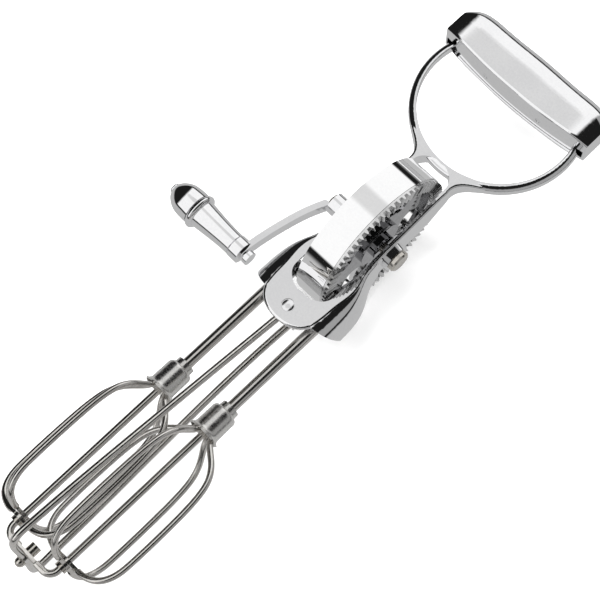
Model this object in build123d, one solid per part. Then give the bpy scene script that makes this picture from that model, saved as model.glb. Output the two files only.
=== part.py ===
from build123d import *
import math
import os

os.makedirs("parts", exist_ok=True)

# Egg beater lying on its back. Millimetres. +X along the axle to its riveted head, +Y along the
# beater to the grip, +Z up, square to the face of the frame. Everything is built about the axle's
# centre and moved up by AXLE_H at the end, so that the table is Z = 0.

AXLE_H = 37.6          # height of the axle above the table: the wheel rests on its rim

# frame, one pressed sheet
FACE_Z = 8.0           # top of the sheet
SHEET = 1.3            # its thickness
FLANGE_Z = -7.0        # lower edge of the turned-down flanges
RING_Z = 3.4           # lower edge of the D ring
D_Y, D_R, D_BAND = 82.5, 37.0, 3.6      # centre, inner radius and width of the D ring
BAR_Y, BAR_T, BAR_BOW = 93.0, 2.4, 2.6  # straight side of the D: a strap in the grip's underside
BAR_Z0, BAR_Z1 = 1.2, 11.8              # and its two edges
WIN_TOP, WIN_END = 43.8, -41.8          # ends of the window the wheel turns in
TONGUE_END = -58.3     # lower end of the shield
EDGE_R = 1.2           # rounding where the face turns down into the flanges
BAR_SLOT = 8.0         # middle of the small slot in the bar's upper edge
RIVET_Y = -50.6        # the rivet through the shield

# grip shell
GRIP_X, GRIP_LOW, GRIP_TOP, GRIP_BOW = 42.3, 92.6, 114.4, 3.0
GRIP_MID_Z, GRIP_HALF, GRIP_SHEET = 7.7, 9.0, 1.2
BAR_RIVETS = (-16.0, 16.0)               # places along the bar

# gears: a crown of face teeth on each side of the wheel, one pinion on each shaft
MODULE, PINION_TEETH, CROWN_TEETH = 0.95, 12, 72
PINION_R = MODULE * PINION_TEETH / 2
CROWN_R = MODULE * CROWN_TEETH / 2
SHAFT_X = 13.75        # each beater's axis from the middle plane
PITCH_X = SHAFT_X - PINION_R            # plane the teeth roll on
ADD, DED = 0.7, 1.05  # tooth height above and below that plane
TOOTH_PITCH, TOOTH_TIP, TOOTH_ROOT = 1.1, 0.5, 1.7   # thicknesses of a tooth

# wheel and axle
WHEEL_R, RIM_T = 37.6, 1.6
RIM_LEFT, RIM_RIGHT = -8.1, 6.05      # the rim covers the left crown's teeth from above
WEB_TURN = -32.0        # where the web's four windows stand at rest
AXLE_R, FIT = 2.6, 0.05
HEAD_R, HEAD_X = 5.3, 16.6

# crank and knob
CRANK_R = 45.3
ARM_T, ARM_W = 3.2, 6.6
KNOB_Y = -CRANK_R
KNOB_BASE, KNOB_END = -39.0, -77.0
PIN_R = 2.0

# beaters
TUBE_R, TUBE_BORE = 2.65, 1.75
SPINDLE_R = 1.65
PINION_Y = -CROWN_R + 2.4             # the pinion's end nearest the axle
PINION_L = 3.7                        # length of its teeth, which end inside the rim
TUBE_TOP, TUBE_END = PINION_Y + 1.2, -103.5
FERRULE_TOP, LIP_Y = -101.0, -114.5
WIRE_R = 1.45
SWEEP_R = 22.2         # wire centre at the widest
EYE_WIRE = 7.0         # where the wire is flattened for the crossing
HUB_Y = -192.6
FOOT_Y = -201.6        # centre line of the foot wire
GUARD_R = 1.7
# the guard's legs, as places along the beater and their distance from the middle plane
GUARD = [(-53.4, 3.9), (-100.0, 14.2), (-140.0, 22.6), (-176.0, 29.4), (-194.6, 31.8)]
PHASE = 20.0           # how far the right beater is turned at rest


def cyl_x(radius, x0, x1, y=0.0, z=0.0):
    """Round bar along X."""
    return Pos((x0 + x1) / 2, y, z) * Rot(Y=90) * Cylinder(radius, abs(x1 - x0))


def cyl_y(radius, y0, y1, x=0.0, z=0.0):
    """Round bar along Y."""
    return Pos(x, (y0 + y1) / 2, z) * Rot(X=90) * Cylinder(radius, abs(y1 - y0))


def cyl_z(radius, z0, z1, x=0.0, y=0.0):
    """Round bar along Z."""
    return Pos(x, y, (z0 + z1) / 2) * Cylinder(radius, abs(z1 - z0))


def box(x0, x1, y0, y1, z0, z1):
    """Block between two corners."""
    return Pos((x0 + x1) / 2, (y0 + y1) / 2, (z0 + z1) / 2) * Box(
        abs(x1 - x0), abs(y1 - y0), abs(z1 - z0))


def mirrored(points):
    """The same run of points on the other side of the middle plane, in reverse order."""
    return [(-x, y) for x, y in reversed(points)]


def closed(*edges):
    """Flat face inside a closed run of edges."""
    return make_face(Wire(list(edges)))


def slab(face, z0, z1):
    """Flat face drawn at Z = 0, made solid from z0 to z1."""
    return Pos(0, 0, z0) * extrude(face, z1 - z0)


# ---------------------------------------------------------------- frame

RAIL_OUT = [(12.4, 36.0), (12.5, 24.0), (12.9, 8.0), (13.5, -10.0), (14.6, -18.0)]
RAIL_IN = [(10.0, 36.5), (10.2, 24.0), (10.7, 8.0), (11.2, -10.0), (11.6, -24.0), (11.5, -33.5)]
SHIELD = [(14.6, -18.0), (16.3, -24.0), (16.6, -29.0), (15.8, -36.0), (15.3, -44.0), (14.3, -50.5)]


def window_face(grow=0.0):
    """The opening between the rails, rounded at both ends; grow widens it all round."""
    side = [(x + grow, y) for x, y in RAIL_IN]
    top = [(10.0 + grow, 36.5), (8.8 + grow, 40.6 + grow / 2), (4.8, WIN_TOP + grow)]
    low = [(11.5 + grow, -33.5), (9.6 + grow, -38.8 - grow / 2), (4.5, WIN_END - grow)]
    return closed(Spline(*[(-x, y) for x, y in top], *reversed(top)), Spline(*side),
                  Spline(*low, *mirrored(low)), Spline(*mirrored(side)))


def outline_face(grow=0.0):
    """Outline of rails, throat and shield; grow moves the rails' sides out."""
    rail = [(x + grow, y) for x, y in RAIL_OUT]
    shield = [(x + grow, y) for x, y in SHIELD]
    end = Spline(shield[-1], (9.8, -55.8), (3.5, TONGUE_END + 0.2), (-3.5, TONGUE_END + 0.2),
                 (-9.8, -55.8), (-shield[-1][0], shield[-1][1]))
    throat_r = Spline((22.6 + grow, 48.9), (17.4 + grow, 45.4), (13.6 + grow, 41.8), rail[0])
    throat_l = Spline((-rail[0][0], rail[0][1]), (-13.6 - grow, 41.8), (-17.4 - grow, 45.4),
                      (-22.6 - grow, 48.9))
    top = Line((-22.6 - grow, 48.9), (22.6 + grow, 48.9))
    return closed(throat_r, Spline(*rail), Spline(*shield), end, Spline(*mirrored(shield)),
                  Spline(*mirrored(rail)), throat_l, top)


def skirt(side):
    """Bulged wing beside the shield that covers a pinion, flaring outward and down."""
    stations = [(-54.0, 14.0, 23.5), (-47.0, 15.0, 23.8), (-39.0, 15.6, 23.7), (-32.0, 16.2, 23.0),
                (-25.5, 16.3, 21.0), (-20.0, 15.0, 18.0), (-15.0, 14.0, 15.6), (-9.0, 13.4, 14.2)]
    faces = []
    for y, x_top, x_low in stations:
        run = x_low - x_top
        outer = [(x_top - 0.5, FACE_Z - 0.25), (x_top + 0.30 * run, 6.8), (x_top + 0.62 * run, 4.3),
                 (x_top + 0.86 * run, 0.3), (x_low, FLANGE_Z)]
        inner = [(x_low - SHEET, FLANGE_Z), (x_top + 0.86 * run - SHEET, -0.1),
                 (x_top + 0.62 * run - SHEET, 3.6), (x_top + 0.30 * run - 0.8, 5.6),
                 (x_top - 1.0, 6.75)]
        loop = [Spline(*outer), Line(outer[-1], inner[0]), Spline(*inner), Line(inner[-1], outer[0])]
        plane = Plane(origin=(0, y, 0), x_dir=(1, 0, 0), z_dir=(0, -1, 0))
        faces.append(plane * closed(*loop))
    wing = loft(faces)
    # the free lower edge slants back from the shield's corner toward the grip
    lean = math.degrees(math.atan2(8.5, FACE_Z - FLANGE_Z))
    knife = Pos(0, -51.0, FACE_Z) * Rot(X=lean) * box(0, 40, -40, 0, -40, 10)
    wing -= knife
    return wing if side > 0 else mirror(wing, Plane.YZ)


def d_ring():
    """Full ring of the D: a shallow channel open beneath, its outer flank well rounded."""
    r0, r1, wall = D_R, D_R + D_BAND, 1.1
    outer = [Line((r0, RING_Z), (r0, FACE_Z - 0.4)),
             ThreePointArc((r0, FACE_Z - 0.4), (r0 + 0.12, FACE_Z - 0.12), (r0 + 0.4, FACE_Z)),
             Spline((r0 + 0.4, FACE_Z), (r0 + 1.6, FACE_Z - 0.12), (r1 - 0.5, FACE_Z - 1.1),
                    (r1, FACE_Z - 2.6), tangents=[(1, 0), (0, -1)]),
             Line((r1, FACE_Z - 2.6), (r1, RING_Z)), Line((r1, RING_Z), (r1 - wall, RING_Z)),
             Line((r1 - wall, RING_Z), (r1 - wall, FACE_Z - 2.8)),
             Line((r1 - wall, FACE_Z - 2.8), (r0 + wall, FACE_Z - 1.4)),
             Line((r0 + wall, FACE_Z - 1.4), (r0 + wall, RING_Z)),
             Line((r0 + wall, RING_Z), (r0, RING_Z))]
    return Pos(0, D_Y, 0) * revolve(Plane.XZ * closed(*outer), Axis.Z)


def rounded_block(depth, radius):
    """Everything inside the outline below the face, its upper edges rounded over."""
    block = slab(outline_face(), depth, FACE_Z)
    rims = [e for e in block.edges().group_by(Axis.Z)[-1] if abs(e.center().Y - 48.9) > 0.05]
    return fillet(rims, radius)


def main_frame():
    """D ring, rails, shield and skirts, pressed from one sheet."""
    hole = cyl_z(D_R, -20, 20, y=D_Y)
    window = slab(window_face(), -20, 20)
    block = rounded_block(-20, EDGE_R)
    plate = (block & box(-60, 60, -80, 60, FACE_Z - SHEET, FACE_Z)) - hole - window
    # flanges turned down along both sides of the rails, as deep as the skirts
    rails = (block - hole - window) & box(-30, 30, -14, 36.5, FLANGE_Z, FACE_Z)
    # toward the ring the flange grows shallower, down to the ring's own depth
    rise = math.degrees(math.atan2(RING_Z - FLANGE_Z, 24.0))
    wedge = Pos(0, 25.0, FLANGE_Z) * Rot(X=rise) * box(-40, 40, 0, 60, -40, 0)
    throat = block - slab(outline_face(-1.4), -20, 20)
    throat = (throat & box(-30, 30, 36, 48.9, FLANGE_Z, 20)) - hole
    rim = slab(window_face(1.2), 0.0, FACE_Z) & box(-30, 30, 36, 60, -20, 20)
    rails = (rails + throat + rim - window - hole) - wedge
    ring = d_ring()
    ring &= box(-60, 60, 30, 96.0, -20, 20)
    bow = [(-36.4, BAR_Y), (0, BAR_Y - BAR_BOW), (36.4, BAR_Y)]
    strap = closed(ThreePointArc(*bow), Line(bow[2], (36.4, BAR_Y + BAR_T)),
                   ThreePointArc(*[(x, y + BAR_T) for x, y in reversed(bow)]),
                   Line((-36.4, BAR_Y + BAR_T), bow[0]))
    bar = slab(strap, BAR_Z0, BAR_Z1) - bar_rivet_holes()
    bar -= box(BAR_SLOT - 3.0, BAR_SLOT + 3.0, BAR_Y - 5, BAR_Y + 5, BAR_Z1 - 1.3, BAR_Z1 + 1)
    frame = plate + rails + ring + bar + skirt(1) + skirt(-1)
    # round bosses pressed out of the rails where the axle passes
    for side in (-1, 1):
        frame += Rot(Z=0 if side > 0 else 180) * (Pos(12.0, 0, 0) * Rot(Y=90) * Cone(
            7.0, 6.2, 4.2, align=(Align.CENTER, Align.CENTER, Align.MIN)))
        frame -= cyl_x(4.0, side * 9, side * 18)
    frame -= cyl_z(2.1, -20, 20, y=RIVET_Y) + cyl_z(3.1, FACE_Z - 0.95, 20, y=RIVET_Y)
    return frame


def axle_bush(side):
    """Flanged bush pressed into a rail's boss."""
    bush = cyl_x(3.95, side * 11.0, side * 16.2) - cyl_x(AXLE_R + FIT, side * 9, side * 18)
    return bush


def plate_rivet():
    """Semi-tubular rivet through the shield into the bearing bracket, its dished head sunk in."""
    head = cyl_z(3.0, FACE_Z - 0.95, FACE_Z - 0.25, y=RIVET_Y)
    shank = cyl_z(2.05, 4.1, FACE_Z - 0.95, y=RIVET_Y)
    tail = cyl_z(2.4, 4.1, 4.9, y=RIVET_Y)
    dish = Pos(0, RIVET_Y, FACE_Z + 9.4) * Sphere(10.0)
    return head + shank + tail - dish


def bearing_bracket():
    """Channel under the shield: two cross walls carry the shafts, a short third one the guard."""
    bracket = box(-9.0, 9.0, -54.2, -41.9, 4.9, FACE_Z - SHEET)
    for y, wide, gap in ((-43.9, 15.4, 0.0), (-50.4, 15.0, 3.4), (-54.2, 6.4, 3.2)):
        bracket += box(-wide, wide, y, y + 2.0, -5.0 if y < -52 else -3.6, 3.4)
        for side in (-1, 1):
            bracket += box(side * gap, side * min(wide, 9.0), y, y + 2.0, 3.3, 5.0)
    for side in (-1, 1):
        bracket -= cyl_y(TUBE_R + FIT, -60, -40, x=side * SHAFT_X)
        guard_x = 0.0 if side > 0 else 3.6
        bracket -= cyl_y(GUARD_R + 0.5, -60, -50.9, x=guard_x, z=side * GUARD[0][1])
    bracket -= cyl_z(2.1, -20, 20, y=RIVET_Y)
    return bracket


# ---------------------------------------------------------------- grip

def loaf(x, inset=0.0):
    """Cross-section of the grip at x: flat underside, straight cheeks, round back."""
    u = abs(x) / GRIP_X
    low = GRIP_LOW - GRIP_BOW * (1 - u * u) + inset
    top = GRIP_TOP - 1.4 * u ** 2 - 5.0 * max(0.0, u - 0.86) ** 1.6 / 0.14 ** 1.6 - inset
    half = GRIP_HALF - 0.6 * u * u - 1.2 * max(0.0, u - 0.86) / 0.14 - inset
    r = 1.4 - min(inset, 0.9)
    cheek = GRIP_LOW + 9.0
    arc_mid = (low + r * 0.293, half - r * 0.293)
    plane = Plane(origin=(x, 0, 0), x_dir=(0, 1, 0), z_dir=(1, 0, 0))
    path = [
        Line((low, -half + r), (low, half - r)),
        ThreePointArc((low, half - r), arc_mid, (low + r, half)),
        Line((low + r, half), (cheek, half)),
        Spline((cheek, half), (cheek + 0.72 * (top - cheek), 0.72 * half), (top, 0.0),
               (cheek + 0.72 * (top - cheek), -0.72 * half), (cheek, -half),
               tangents=[(1, 0), (-1, 0)]),
        Line((cheek, -half), (low + r, -half)),
        ThreePointArc((low + r, -half), (arc_mid[0], -arc_mid[1]), (low, -half + r)),
    ]
    return Pos(0, 0, GRIP_MID_Z) * (plane * closed(*path))


def grip_shell():
    """Hollow shell wrapped round the straight side of the D, slotted beneath for it."""
    stations = [-1.0, -0.93, -0.84, -0.5, 0.0, 0.5, 0.84, 0.93, 1.0]
    outer = loft([loaf(s * GRIP_X) for s in stations])
    inner = loft([loaf(s * (GRIP_X - 1.3), GRIP_SHEET) for s in stations])
    slot = box(-37.2, 37.2, 80, 96, BAR_Z0 - 0.3, BAR_Z1 + 0.3)
    slot += box(-41.2, 41.2, 80, 97.0, RING_Z - 0.3, FACE_Z + 0.3)
    return outer - inner - slot


def bar_rivet_holes():
    """The two holes through the D's bar and the liner."""
    z = (BAR_Z0 + BAR_Z1) / 2
    return [cyl_y(1.5, BAR_Y - 10, BAR_Y + 10, x=x, z=z) for x in BAR_RIVETS]


def grip_liner():
    """Channel inside the grip, riveted to the D's strap, that keeps the shell from turning."""
    low = BAR_Y + BAR_T + 0.4
    z0, z1 = (GRIP_MID_Z + s * (GRIP_HALF - GRIP_SHEET - 0.4) for s in (-1, 1))
    base = box(-24.0, 24.0, low, low + 1.2, z0, z1)
    for z in (z0, z1 - 1.2):
        base += box(-24.0, 24.0, low, low + 6.0, z, z + 1.2)
    return base - bar_rivet_holes()


def grip_rivets():
    """Two rivets holding the liner to the D's bar, flush with its outer side."""
    out = []
    z = (BAR_Z0 + BAR_Z1) / 2
    top = BAR_Y + BAR_T + 1.6
    for x in BAR_RIVETS:
        low = BAR_Y - BAR_BOW * (1 - (x / 36.4) ** 2)
        out.append(cyl_y(1.5, low + 0.1, top, x=x, z=z) + cyl_y(2.6, top, top + 1.0, x=x, z=z))
    return out


# ---------------------------------------------------------------- wheel, axle, crank

def crown_ring(side):
    """Ring of radial face teeth on one side of the wheel."""
    x_root = PITCH_X - DED
    r0, r1 = CROWN_R - 2.3, (WHEEL_R - 0.3 if side > 0 else WHEEL_R - RIM_T - 0.3)
    ring = cyl_x(r1, side * RIM_RIGHT, side * x_root) - cyl_x(r0 - 0.8, 0, side * 20)
    half = [(TOOTH_ROOT / 2, -DED - 0.2), (TOOTH_PITCH / 2, 0.0), (TOOTH_TIP / 2, ADD)]
    tooth_face = Polyline(*half, *[(-t, h) for t, h in reversed(half)], close=True)
    plane = Plane(origin=(side * PITCH_X, -r0, 0), x_dir=(0, 0, -1 * side), z_dir=(0, -1, 0))
    tooth = extrude(plane * make_face(tooth_face), r1 - r0)
    step = 360 / CROWN_TEETH
    teeth = [Rot(X=step * (i + 0.5)) * tooth for i in range(CROWN_TEETH)]
    return ring + teeth


def drive_wheel():
    """Drum: smooth rim band on a pressed web with four spokes and a hub."""
    rim = cyl_x(WHEEL_R, RIM_LEFT, RIM_RIGHT) - cyl_x(WHEEL_R - RIM_T, -20, 20)
    seat = cyl_x(WHEEL_R - 0.5, -RIM_RIGHT, -RIM_RIGHT + 1.0) - cyl_x(CROWN_R - 3.1, -20, 20)
    web = cyl_x(WHEEL_R - 0.5, 2.6, 4.0) - cyl_x(10.5, 0, 20)
    cut = None
    for i in range(4):
        window = Rot(X=90 * i + WEB_TURN) * (Pos(0, 0, 22.0) * Rot(Y=90) * extrude(
            RectangleRounded(13.0, 20.0, 5.0), 10, both=True))
        cut = window if cut is None else cut + window
    web -= cut & cyl_x(30.4, -20, 20)
    dish = cyl_x(11.5, 2.6, 6.2) - cyl_x(10.0, 2.0, 5.0)
    hub = cyl_x(6.2, -7.6, 8.6) + cyl_x(10.6, 4.8, 6.0)
    wheel = rim + seat + web + dish + hub - cyl_x(AXLE_R, -20, 20)
    return wheel


def axle():
    """Axle with a bevelled riveted head on the right and a headed end on the crank."""
    rod = cyl_x(AXLE_R, -22.4, HEAD_X)
    head = Pos(HEAD_X, 0, 0) * Rot(Y=90) * Cylinder(
        HEAD_R, 2.3, align=(Align.CENTER, Align.CENTER, Align.MIN))
    head = chamfer(head.edges().filter_by(GeomType.CIRCLE).sort_by(Axis.X)[-1:], 0.8)
    peen = cyl_x(4.0, -23.6, -22.4)
    peen = fillet(peen.edges().filter_by(GeomType.CIRCLE).sort_by(Axis.X)[:1], 0.8)
    return rod + head + peen


def crank_washer():
    """Washer between the left boss and the crank's hub."""
    return cyl_x(5.0, -16.5, -17.1) - cyl_x(AXLE_R, -20, 0)


ARM_OUT = [(-20.6, 5.4), (-22.2, 3.2), (-25.0, -2.2), (-28.6, -11.0), (-31.4, -21.0),
           (-33.6, -31.5), (-35.0, -41.0), (-35.4, -52.0)]


def crank_arm():
    """Curved strap with turned-out edges, from a hub on the axle to an eye under the knob."""
    outer = [(x, y) for x, y in ARM_OUT]
    inner = [(x + ARM_T * 0.9, y - ARM_T * 0.25) for x, y in ARM_OUT]
    side = closed(Spline(*outer), Line(outer[-1], inner[-1]), Spline(*reversed(inner)),
                  Line(inner[0], outer[0]))
    strap = slab(side, -ARM_W / 2, ARM_W / 2)
    # rounded at both ends, seen along the axle
    plan = make_hull([*(Pos(0, 0) * Circle(ARM_W / 2)).edges(),
                      *(Pos(KNOB_Y, 0) * Circle(ARM_W / 2)).edges()])
    plane = Plane(origin=(-60, 0, 0), x_dir=(0, 1, 0), z_dir=(1, 0, 0))
    strap &= extrude(plane * plan, 60)
    # shallow trough along the outer side, which leaves raised edges
    trough = [(x + 1.1, y) for x, y in ARM_OUT[2:-2]]
    far = [(x - 6.0, y) for x, y in reversed(trough)]
    groove = closed(Spline(*trough), Line(trough[-1], far[0]), Spline(*far), Line(far[-1], trough[0]))
    strap -= slab(groove, -2.1, 2.1)
    hub = cyl_x(5.2, -17.1, -22.4)
    eye = cyl_x(5.6, -33.4, -38.4, y=KNOB_Y)
    arm = (strap + hub + eye) - cyl_x(4.1, -40, -22.4) - cyl_x(AXLE_R, -30, 0) - cyl_x(PIN_R, -50, 0, y=KNOB_Y)
    return max(arm.solids(), key=lambda solid: solid.volume)


def knob_pin():
    """Pin the knob turns on, riveted in the arm, with a button at the knob's tip."""
    pin = cyl_x(PIN_R, -30.4, KNOB_END - 0.1, y=KNOB_Y)
    foot = cyl_x(3.4, -29.2, -31.4, y=KNOB_Y)
    button = Pos(KNOB_END - 0.1, KNOB_Y, 0) * Rot(Y=-90) * Cylinder(
        2.5, 1.2, align=(Align.CENTER, Align.CENTER, Align.MIN))
    button = fillet(button.edges().filter_by(GeomType.CIRCLE).sort_by(Axis.X)[:1], 0.7)
    return pin + foot + button


def knob_body():
    """Tapered hand barrel of the knob, flared a little at its base."""
    outer = Spline((KNOB_BASE, 5.3), (-41.5, 5.35), (-50.0, 5.9), (-59.6, 6.9))
    face = closed(Line((KNOB_BASE, PIN_R + FIT), (KNOB_BASE, 5.3)), outer,
                  Line((-59.6, 6.9), (-59.6, PIN_R + FIT)),
                  Line((-59.6, PIN_R + FIT), (KNOB_BASE, PIN_R + FIT)))
    return Pos(0, KNOB_Y, 0) * revolve(face, Axis.X)


def knob_bead():
    """Rolled ring between barrel and cap."""
    bead = Pos(-61.4, KNOB_Y, 0) * Rot(Y=90) * Torus(7.0, 1.7)
    bead += cyl_x(7.2, -59.6, -63.2, y=KNOB_Y)
    return bead - cyl_x(PIN_R + FIT, -80, -30, y=KNOB_Y)


def knob_cap():
    """Domed cap at the knob's outer end."""
    x0, x1 = -63.2, KNOB_END
    face = closed(Line((x0, PIN_R + FIT), (x0, 7.9)),
                  Spline((x0, 7.9), (-67.0, 7.9), (-71.4, 7.3), (-74.9, 5.4), (x1, 2.6),
                         tangents=[(-1, 0.1), (-0.25, -1)]),
                  Line((x1, 2.6), (x1, PIN_R + FIT)), Line((x1, PIN_R + FIT), (x0, PIN_R + FIT)))
    return Pos(0, KNOB_Y, 0) * revolve(face, Axis.X)


# ---------------------------------------------------------------- beaters

def on_shaft(side, part, turn=0.0):
    """Puts a piece built about the Y axis on a beater's shaft, turned about it."""
    return Pos(side * SHAFT_X, 0, 0) * Rot(Y=turn) * part


def pinion():
    """Straight-toothed pinion; one tooth points along X."""
    root_r, tip_r = PINION_R - DED, PINION_R + ADD
    body = cyl_y(root_r, PINION_Y, PINION_Y - PINION_L)
    half = [(TOOTH_ROOT / 2, root_r - 0.3), (TOOTH_PITCH / 2, PINION_R), (TOOTH_TIP / 2, tip_r)]
    face = make_face(Polyline(*half, *[(-t, h) for t, h in reversed(half)], close=True))
    plane = Plane(origin=(0, PINION_Y, 0), x_dir=(1, 0, 0), z_dir=(0, -1, 0))
    tooth = extrude(plane * face, PINION_L)
    step = 360 / PINION_TEETH
    gear = body + [Rot(Y=step * i) * tooth for i in range(PINION_TEETH)]
    gear += cyl_y(4.0, PINION_Y - PINION_L, PINION_Y - 7.2)
    return gear - cyl_y(TUBE_R, -60, -20)


def shaft_tube():
    """Hollow shaft from the pinion to the ferrule, turning on the fixed spindle."""
    return cyl_y(TUBE_R, TUBE_TOP, TUBE_END) - cyl_y(TUBE_BORE, 0, -150)


def ferrule():
    """Cup that holds the wires: neck, round shoulder, body and flared lip."""
    outer = [Line((TUBE_R, FERRULE_TOP + 2.6), (4.3, FERRULE_TOP + 2.6)),
             Line((4.3, FERRULE_TOP + 2.6), (4.5, FERRULE_TOP)),
             Spline((4.5, FERRULE_TOP), (5.7, FERRULE_TOP - 0.7), (6.25, FERRULE_TOP - 2.2)),
             Line((6.25, FERRULE_TOP - 2.2), (6.35, LIP_Y + 2.0)),
             Spline((6.35, LIP_Y + 2.0), (6.9, LIP_Y + 0.8), (8.0, LIP_Y)),
             Line((8.0, LIP_Y), (7.4, LIP_Y - 0.6)),
             Spline((7.4, LIP_Y - 0.6), (6.6, LIP_Y + 0.4), (5.7, LIP_Y + 2.2)),
             Line((5.7, LIP_Y + 2.2), (5.7, TUBE_END - 0.6)),
             Line((5.7, TUBE_END - 0.6), (TUBE_R, TUBE_END - 0.6)),
             Line((TUBE_R, TUBE_END - 0.6), (TUBE_R, FERRULE_TOP + 2.6))]
    return revolve(closed(*outer), Axis.Y)


def wire_loop(level):
    """One bent wire: two arms flaring from the ferrule, flattened where it crosses the hub."""
    start = 3.9
    path = Spline((start, LIP_Y + 9.6), (start, LIP_Y + 7.0), (start, LIP_Y + 4.4),
                  (5.2, LIP_Y - 0.2), (9.6, LIP_Y - 4.4), (15.0, LIP_Y - 8.6),
                  (19.0, LIP_Y - 14.0), (21.2, LIP_Y - 22.0), (SWEEP_R, LIP_Y - 36.0),
                  (SWEEP_R, level + 18.0), (SWEEP_R - 1.2, level + 9.0),
                  (SWEEP_R - 5.2, level + 3.0), (SWEEP_R - 10.5, level + 0.5),
                  (EYE_WIRE + 2.0, level), (EYE_WIRE, level))
    disc = Plane(origin=path @ 0, z_dir=path % 0) * Circle(WIRE_R)
    half = sweep(disc, path=path)
    flat = box(-EYE_WIRE - 0.1, EYE_WIRE + 0.1, level - 0.8, level + 0.8, -1.9, 1.9)
    eye = cyl_y(3.6, level - 0.8, level + 0.8)
    return half + mirror(half, Plane.YZ) + flat + eye - cyl_y(SPINDLE_R + 0.1, 0, -300)


def hub_collar():
    """Collar pressed under the crossing of the two wires."""
    collar = cyl_y(2.9, HUB_Y - 1.8, HUB_Y - 3.6) - cyl_y(SPINDLE_R + FIT, 0, -300)
    return collar


# ---------------------------------------------------------------- fixed wires at the foot

def foot_wire():
    """The two spindles and the foot that joins them, one wire, flattened in the middle."""
    r = 4.5
    x = SHAFT_X
    legs = [cyl_y(SPINDLE_R, -62.0, FOOT_Y + r, x=s * x) for s in (-1, 1)]
    path = Wire([Line((x, FOOT_Y + r + 0.5), (x, FOOT_Y + r)),
                 CenterArc((x - r, FOOT_Y + r), r, 0, -90),
                 Line((x - r, FOOT_Y), (-x + r, FOOT_Y)),
                 CenterArc((-x + r, FOOT_Y + r), r, -90, -90),
                 Line((-x, FOOT_Y + r), (-x, FOOT_Y + r + 0.5))])
    disc = Plane(origin=(x, FOOT_Y + r + 0.5, 0), z_dir=(0, -1, 0)) * Circle(SPINDLE_R)
    foot = sweep(disc, path=path)
    foot -= box(-5, 5, FOOT_Y - 5, FOOT_Y - 0.95, -5, 5) + box(-5, 5, FOOT_Y + 0.95, FOOT_Y + 5, -5, 5)
    foot += box(-5, 5, FOOT_Y - 0.95, FOOT_Y + 0.95, -2.3, 2.3)
    return foot + legs - cyl_y(1.3, FOOT_Y - 5, FOOT_Y + 5)


def guard_wire():
    """Guard in front of and behind the beaters: one wire, flattened under the foot.

    Its rear leg starts off to the right under the shield and crosses over on its way down.
    """
    low = FOOT_Y - 2.0
    half = []
    for side, across in ((1, (0.0, 0.0, 0.0, 0.0, 0.0)), (-1, (3.6, 0.4, -0.7, -1.4, -1.6))):
        points = [(x, y, side * z) for x, (y, z) in zip(across, GUARD)]
        x, z = across[-1], GUARD[-1][1]
        points += [(0.9 * x, low + 4.2, side * (z - 0.2)), (0.7 * x, low + 1.2, side * (z - 2.6)),
                   (0.4 * x, low, side * (z - 7.0)), (0.0, low, side * 12.0),
                   (0.0, low, side * 6.0), (0.0, low, 0.0)]
        path = Spline(*points)
        disc = Plane(origin=path @ 0, z_dir=path % 0) * Circle(GUARD_R)
        half.append(sweep(disc, path=path))
    both = half[0] + half[1]
    both -= box(-5, 5, low - 5, low - 0.95, -4, 4) + box(-5, 5, low + 0.95, low + 5, -4, 4)
    both += box(-2.3, 2.3, low - 0.95, low + 0.95, -4, 4)
    return both - cyl_y(1.3, low - 5, low + 5)


def foot_rivet():
    """Rivet with a ball head under the foot, joining foot and guard."""
    low = FOOT_Y - 2.0 - 0.95
    pin = cyl_y(1.3, low, FOOT_Y + 0.95)
    ball = Pos(0, low - 1.2, 0) * Sphere(2.4) & box(-5, 5, low - 6, low, -5, 5)
    return pin + ball


def foot_barrel():
    """Collar closing the rivet above the foot."""
    y0 = FOOT_Y + 0.95
    return cyl_y(2.6, y0, y0 + 4.2) - cyl_y(1.3, y0 - 1, y0 + 0.0001)


NODES = {
    "main_frame": main_frame,
    "axle_bush_left": lambda: axle_bush(-1),
    "axle_bush_right": lambda: axle_bush(1),
    "plate_rivet": plate_rivet,
    "bearing_bracket": bearing_bracket,
    "grip_shell": grip_shell,
    "grip_liner": grip_liner,
    "grip_rivets": grip_rivets,
    "drive_wheel": drive_wheel,
    "crown_left": lambda: crown_ring(-1),
    "crown_right": lambda: crown_ring(1),
    "axle": axle,
    "crank_washer": crank_washer,
    "crank_arm": crank_arm,
    "knob_pin": knob_pin,
    "knob_body": knob_body,
    "knob_bead": knob_bead,
    "knob_cap": knob_cap,
    "foot_wire": foot_wire,
    "guard_wire": guard_wire,
    "foot_rivet": foot_rivet,
    "foot_barrel": foot_barrel,
}
for name, side in (("left", -1), ("right", 1)):
    # arms of one beater stand midway between arms of the other
    turn = -PHASE if side > 0 else PHASE + 45
    NODES[f"pinion_{name}"] = lambda s=side: on_shaft(s, pinion())
    NODES[f"shaft_{name}"] = lambda s=side: on_shaft(s, shaft_tube())
    NODES[f"ferrule_{name}"] = lambda s=side: on_shaft(s, ferrule())
    NODES[f"hub_collar_{name}"] = lambda s=side: on_shaft(s, hub_collar())
    for letter, level, quarter in (("a", HUB_Y + 0.9, 0), ("b", HUB_Y - 0.9, 90)):
        NODES[f"wire_{letter}_{name}"] = (
            lambda s=side, h=level, q=turn + quarter: on_shaft(s, wire_loop(h), q))

for name, make in NODES.items():
    made = make()
    solids = made if isinstance(made, list) else made.solids()
    shape = Compound(children=[s for s in solids]) if len(solids) > 1 else solids[0]
    export_step(Pos(0, 0, AXLE_H) * shape, f"parts/{name}.step")
    print(name, len(solids))
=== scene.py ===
import math

import bpy
from mathutils import Matrix, Vector


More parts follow.
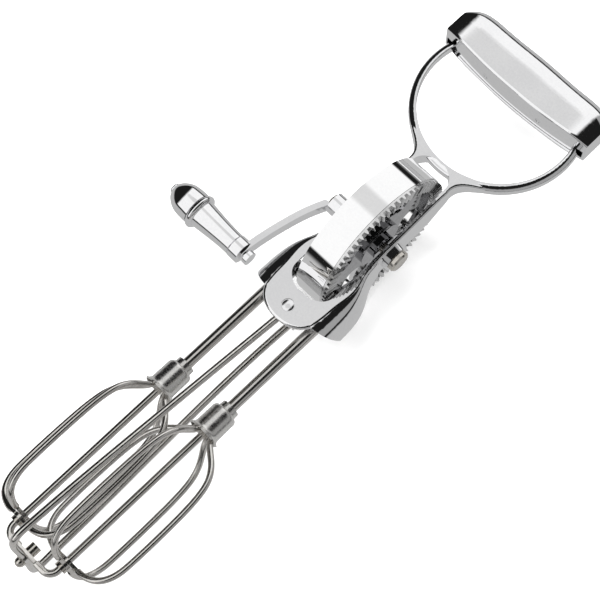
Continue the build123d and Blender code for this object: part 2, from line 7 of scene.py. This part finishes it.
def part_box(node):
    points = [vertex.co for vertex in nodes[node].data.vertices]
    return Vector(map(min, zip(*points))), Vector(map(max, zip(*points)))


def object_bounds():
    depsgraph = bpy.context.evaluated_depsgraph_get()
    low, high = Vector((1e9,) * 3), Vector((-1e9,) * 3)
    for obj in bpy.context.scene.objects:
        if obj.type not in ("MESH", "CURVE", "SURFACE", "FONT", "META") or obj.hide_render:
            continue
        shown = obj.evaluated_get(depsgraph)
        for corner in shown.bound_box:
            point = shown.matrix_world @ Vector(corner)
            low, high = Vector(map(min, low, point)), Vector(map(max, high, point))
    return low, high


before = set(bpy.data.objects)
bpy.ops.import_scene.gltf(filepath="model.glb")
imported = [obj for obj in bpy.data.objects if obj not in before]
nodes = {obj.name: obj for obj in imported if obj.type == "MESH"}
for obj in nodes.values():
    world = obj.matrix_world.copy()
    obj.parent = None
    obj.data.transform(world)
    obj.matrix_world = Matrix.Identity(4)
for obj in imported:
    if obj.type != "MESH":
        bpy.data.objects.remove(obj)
cad_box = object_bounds()
scene = bpy.context.scene

# ------------------------------------------------------------------ places, all from the frame
axle_lo, axle_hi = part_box("axle")
AXLE = Vector((0.0, (axle_lo.y + axle_hi.y) / 2, (axle_lo.z + axle_hi.z) / 2))


def toward(azimuth, elevation):
    """Unit vector from the object toward a place round it. Azimuth 0 is on the -Y side, 90 on +X."""
    a, e = math.radians(azimuth), math.radians(elevation)
    return Vector((math.sin(a) * math.cos(e), -math.cos(a) * math.cos(e), math.sin(e)))


# ------------------------------------------------------------------ camera
CAM_AZ, CAM_EL, CAM_ROLL = 47.07, 69.51, -1.95
CAM_DISTANCE = 0.717
CAM_LENS = 98.85
CAM_TARGET = AXLE + Vector((-0.0002, -0.0433, 0.0))


def make_camera():
    data = bpy.data.cameras.new("camera")
    data.sensor_width, data.lens = 36.0, CAM_LENS
    data.clip_start, data.clip_end = 0.05, 20.0
    camera = bpy.data.objects.new("camera", data)
    scene.collection.objects.link(camera)
    back = toward(CAM_AZ, CAM_EL)
    right = Vector((math.cos(math.radians(CAM_AZ)), math.sin(math.radians(CAM_AZ)), 0.0))
    up = back.cross(right)
    roll = math.radians(CAM_ROLL)
    right, up = (right * math.cos(roll) + up * math.sin(roll),
                 up * math.cos(roll) - right * math.sin(roll))
    turn = Matrix((right, up, back)).transposed()
    camera.matrix_world = Matrix.Translation(CAM_TARGET + back * CAM_DISTANCE) @ turn.to_4x4()
    scene.camera = camera


# ------------------------------------------------------------------ node helpers
class Tree:
    """A node tree with short calls for the few kinds of node used here."""

    def __init__(self, tree):
        self.tree = tree
        tree.nodes.clear()

    def node(self, kind, **settings):
        made = self.tree.nodes.new(kind)
        for name, value in settings.items():
            setattr(made, name, value)
        return made

    def feed(self, socket, value):
        """Links a socket, or sets the input's own value."""
        if isinstance(value, bpy.types.NodeSocket):
            self.tree.links.new(value, socket)
        else:
            socket.default_value = value

    def math(self, operation, a, b=0.0, clamp=False):
        made = self.node("ShaderNodeMath", operation=operation, use_clamp=clamp)
        self.feed(made.inputs[0], a)
        self.feed(made.inputs[1], b)
        return made.outputs[0]

    def dot(self, vector, direction):
        made = self.node("ShaderNodeVectorMath", operation="DOT_PRODUCT")
        self.feed(made.inputs[0], vector)
        made.inputs[1].default_value = direction
        return made.outputs["Value"]

    def ramp(self, value, low, high, to_low=0.0, to_high=1.0, smooth=True):
        made = self.node("ShaderNodeMapRange",
                         interpolation_type="SMOOTHSTEP" if smooth else "LINEAR")
        self.feed(made.inputs[0], value)
        for socket, number in zip(made.inputs[1:5], (low, high, to_low, to_high)):
            socket.default_value = number
        return made.outputs[0]

    def mix(self, factor, a, b):
        made = self.node("ShaderNodeMix", data_type="RGBA")
        self.feed(made.inputs["Factor"], factor)
        self.feed(made.inputs[6], a)
        self.feed(made.inputs[7], b)
        return made.outputs[2]

    def blend(self, factor, a, b):
        made = self.node("ShaderNodeMix", data_type="FLOAT")
        self.feed(made.inputs["Factor"], factor)
        self.feed(made.inputs[2], a)
        self.feed(made.inputs[3], b)
        return made.outputs[0]

    def noise(self, vector, scale, detail=3.0, stretch=(1.0, 1.0, 1.0), shift=(0.0, 0.0, 0.0)):
        place = self.node("ShaderNodeMapping")
        self.feed(place.inputs["Vector"], vector)
        place.inputs["Scale"].default_value = stretch
        place.inputs["Location"].default_value = shift
        made = self.node("ShaderNodeTexNoise")
        self.feed(made.inputs["Vector"], place.outputs[0])
        made.inputs["Scale"].default_value = scale
        made.inputs["Detail"].default_value = detail
        return made.outputs[0]


# ------------------------------------------------------------------ light
# What the metal mirrors: a long bright bank overhead that runs along the beater, a greyer patch
# in its middle, dark flags on both sides, a grey wall low on the right, a dark horizon and,
# below it, a grey ground.
BANK_EDGES = ((-0.56, -0.48), (0.00, 0.07))   # across the object, as the X of a unit direction
BANK, BANK_PATCH = 1.0, 0.72
PATCH_AT, PATCH_HALF, PATCH_SOFT = (226, 67), 12.0, 8.0   # degrees
FLAG = 0.012
WALL, WALL_TOP = 0.36, (0.60, 0.70)           # brightness, and where it ends, as the Z of a direction
HORIZON = (0.05, 0.12)
GROUND, GROUND_TOP = 0.50, (-0.20, -0.05)


def make_world():
    world = bpy.data.worlds.new("tent")
    scene.world = world
    world.use_nodes = True
    t = Tree(world.node_tree)
    ray = t.node("ShaderNodeTexCoord").outputs["Generated"]
    across, height = t.dot(ray, (1, 0, 0)), t.dot(ray, (0, 0, 1))
    near = t.dot(ray, toward(*PATCH_AT))
    patch = t.ramp(near, math.cos(math.radians(PATCH_HALF + PATCH_SOFT / 2)),
                   math.cos(math.radians(PATCH_HALF - PATCH_SOFT / 2)))
    bank = t.blend(patch, BANK, BANK_PATCH)
    value = t.blend(t.ramp(across, *BANK_EDGES[0]), FLAG, bank)
    right = t.blend(t.ramp(height, *WALL_TOP), WALL, FLAG)
    value = t.blend(t.ramp(across, *BANK_EDGES[1]), value, right)
    value = t.blend(t.ramp(height, *HORIZON), FLAG, value)
    value = t.blend(t.ramp(height, *GROUND_TOP), GROUND, value)
    shade = t.node("ShaderNodeBackground")
    t.feed(shade.inputs["Color"], value)
    shade.inputs["Strength"].default_value = 1.0
    out = t.node("ShaderNodeOutputWorld")
    t.feed(out.inputs["Surface"], shade.outputs[0])


# broad soft suns that the metal doesn't mirror: name, energy, angle across and where each stands
SUNS = (("key", 4.4, 50, (285, 62)), ("fill", 3.0, 60, (100, 58)))


def make_lights():
    """A key from the left to whiten the floor and a fill from the right to thin its shadows."""
    for name, energy, across, place in SUNS:
        data = bpy.data.lights.new(name, "SUN")
        data.energy, data.angle = energy, math.radians(across)
        lamp = bpy.data.objects.new(name, data)
        lamp.rotation_mode = "QUATERNION"
        lamp.rotation_quaternion = toward(*place).to_track_quat("Z", "Y")
        lamp.visible_glossy = False
        scene.collection.objects.link(lamp)


FLOOR_HALF, FLOOR_GAP = 12.0, 0.0002    # in metres; the gap keeps it clear of the rim


def make_floor():
    """A white floor. The metal mirrors the tent's grey ground in its place."""
    half = FLOOR_HALF
    mesh = bpy.data.meshes.new("floor")
    mesh.from_pydata([(-half, -half, 0), (half, -half, 0), (half, half, 0), (-half, half, 0)],
                     [], [(0, 1, 2, 3)])
    floor = bpy.data.objects.new("floor", mesh)
    floor.location.z = cad_box[0].z - FLOOR_GAP
    scene.collection.objects.link(floor)
    material = bpy.data.materials.new("floor_white")
    material.use_nodes = True
    t = Tree(material.node_tree)
    place = t.node("ShaderNodeTexCoord").outputs["Object"]
    tone = t.ramp(t.noise(place, 3.0), 0.3, 0.7, 0.0, 1.0)
    shader = t.node("ShaderNodeBsdfPrincipled")
    t.feed(shader.inputs["Base Color"],
           t.mix(tone, (0.86, 0.86, 0.86, 1), (0.89, 0.89, 0.89, 1)))
    shader.inputs["Roughness"].default_value = 0.9
    shader.inputs["Specular IOR Level"].default_value = 0.1
    out = t.node("ShaderNodeOutputMaterial")
    t.feed(out.inputs["Surface"], shader.outputs[0])
    mesh.materials.append(material)
    floor.visible_glossy = False


# ------------------------------------------------------------------ metals
# scales of the noise: slow clouding, small specks and the waviness of the sheet
CLOUD_SCALE, SPECK_SCALE, WAVE_SCALE = 55.0, 2600.0, 38.0
# the wheel's rim is buffed bright; the web inside it gets painted shade, darker tones standing in for
# the shade in that recess
WHEEL_METAL = "chrome_rim"
WEB_SHADE_LIGHT, WEB_SHADE_DARK = (0.46, 0.46, 0.47), (0.32, 0.32, 0.33)
WEB_SHADE_EDGE = (0.0345, 0.0356)            # distances from the axle, in metres


def from_axle(t, place):
    """Distance from the axle's line, in the wheel's own space, so that it turns with the wheel."""
    wheel = nodes["drive_wheel"]
    centre = wheel.matrix_world.inverted() @ AXLE
    shift = t.node("ShaderNodeVectorMath", operation="SUBTRACT")
    t.feed(shift.inputs[0], place)
    shift.inputs[1].default_value = centre
    flat = t.node("ShaderNodeVectorMath", operation="MULTIPLY")
    t.feed(flat.inputs[0], shift.outputs[0])
    flat.inputs[1].default_value = (0.0, 1.0, 1.0)
    length = t.node("ShaderNodeVectorMath", operation="LENGTH")
    t.feed(length.inputs[0], flat.outputs[0])
    return length.outputs["Value"]


def metal(name, light, dark, rough, grain, wave, streak=(1.0, 1.0, 1.0), streak_scale=900.0):
    """Polished metal. light and dark are its two tones, rough the range of its roughness, grain
    the depth of its fine polishing marks and wave that of the slow waviness of pressed sheet,
    both in metres; streak stretches the grain along an axis."""
    material = bpy.data.materials.new(name)
    material.use_nodes = True
    t = Tree(material.node_tree)
    place = t.node("ShaderNodeTexCoord").outputs["Object"]
    cloud = t.noise(place, CLOUD_SCALE, 3.0)
    fine = t.noise(place, streak_scale, 4.0, streak)
    specks = t.noise(place, SPECK_SCALE, 2.0, shift=(3.0, 1.0, 2.0))
    tone = t.ramp(t.math("ADD", t.math("MULTIPLY", cloud, 0.5), t.math("MULTIPLY", fine, 0.5)),
                  0.36, 0.64)
    shader = t.node("ShaderNodeBsdfPrincipled")
    shader.inputs["Metallic"].default_value = 1.0
    colour = t.mix(tone, (*dark, 1), (*light, 1))
    if name == WHEEL_METAL:
        # painted shade: inside the rim the web takes the darker web tones
        web_shade = t.mix(tone, (*WEB_SHADE_DARK, 1), (*WEB_SHADE_LIGHT, 1))
        colour = t.mix(t.ramp(from_axle(t, place), *WEB_SHADE_EDGE), web_shade, colour)
    t.feed(shader.inputs["Base Color"], colour)
    wear = t.ramp(t.math("ADD", t.math("MULTIPLY", fine, 0.7), t.math("MULTIPLY", cloud, 0.3)),
                  0.38, 0.62, rough[0], rough[1])
    spots = t.ramp(specks, 0.70, 0.76, 0.0, 0.06)
    t.feed(shader.inputs["Roughness"], t.math("ADD", wear, spots))
    slow = t.node("ShaderNodeBump")
    slow.inputs["Distance"].default_value = wave
    slow.inputs["Strength"].default_value = 1.0
    t.feed(slow.inputs["Height"], t.noise(place, WAVE_SCALE, 1.0, shift=(0.0, 5.0, 0.0)))
    marks = t.node("ShaderNodeBump")
    marks.inputs["Distance"].default_value = grain
    marks.inputs["Strength"].default_value = 1.0
    t.feed(marks.inputs["Height"], fine)
    t.feed(marks.inputs["Normal"], slow.outputs[0])
    t.feed(shader.inputs["Normal"], marks.outputs[0])
    out = t.node("ShaderNodeOutputMaterial")
    t.feed(out.inputs["Surface"], shader.outputs[0])
    return material


ALONG_Y = (1.0, 0.03, 1.0)
METALS = {
    # name: (light tone, dark tone, roughness, grain, wave, stretch, scale of the grain)
    "chrome": ((0.93, 0.93, 0.935), (0.89, 0.89, 0.90), (0.03, 0.07), 1e-7, 4e-6),
    "chrome_rim": ((0.985, 0.985, 0.985), (0.95, 0.95, 0.955), (0.02, 0.05), 5e-8, 3e-6),
    "chrome_soft": ((0.90, 0.90, 0.91), (0.84, 0.84, 0.85), (0.10, 0.18), 2e-7, 4e-6),
    "gear_steel": ((0.82, 0.82, 0.82), (0.66, 0.66, 0.66), (0.12, 0.24), 5e-7, 2e-6),
    "nickel": ((0.72, 0.69, 0.64), (0.60, 0.57, 0.52), (0.14, 0.24), 4e-7, 2e-6),
    "stainless": ((0.82, 0.80, 0.77), (0.70, 0.68, 0.65), (0.14, 0.22), 6e-8, 1e-6,
                  ALONG_Y, 1500.0),
    "ferrule_steel": ((0.88, 0.87, 0.85), (0.78, 0.77, 0.75), (0.24, 0.34), 6e-8, 1e-6),
}
FINISH = {
    "chrome": ("main_frame", "grip_shell", "crank_arm", "knob_body", "knob_bead", "knob_cap",
               "knob_pin"),
    "chrome_rim": ("drive_wheel",),
    "chrome_soft": ("grip_liner", "grip_rivets", "plate_rivet", "crank_washer",
                    "axle_bush_left", "axle_bush_right"),
    "gear_steel": ("crown_left", "crown_right", "pinion_left", "pinion_right", "bearing_bracket"),
    "nickel": ("axle", "foot_rivet", "foot_barrel", "hub_collar_left", "hub_collar_right"),
    "stainless": ("wire_a_left", "wire_b_left", "wire_a_right", "wire_b_right", "foot_wire",
                  "guard_wire", "shaft_left", "shaft_right"),
    "ferrule_steel": ("ferrule_left", "ferrule_right"),
}


def dress():
    made = {name: metal(name, *values) for name, values in METALS.items()}
    for name, members in FINISH.items():
        for member in members:
            slots = nodes[member].data.materials
            slots.clear()
            slots.append(made[name])


# ------------------------------------------------------------------ build
scene.view_settings.view_transform = "Standard"
make_camera()
make_world()
make_lights()
make_floor()
dress()
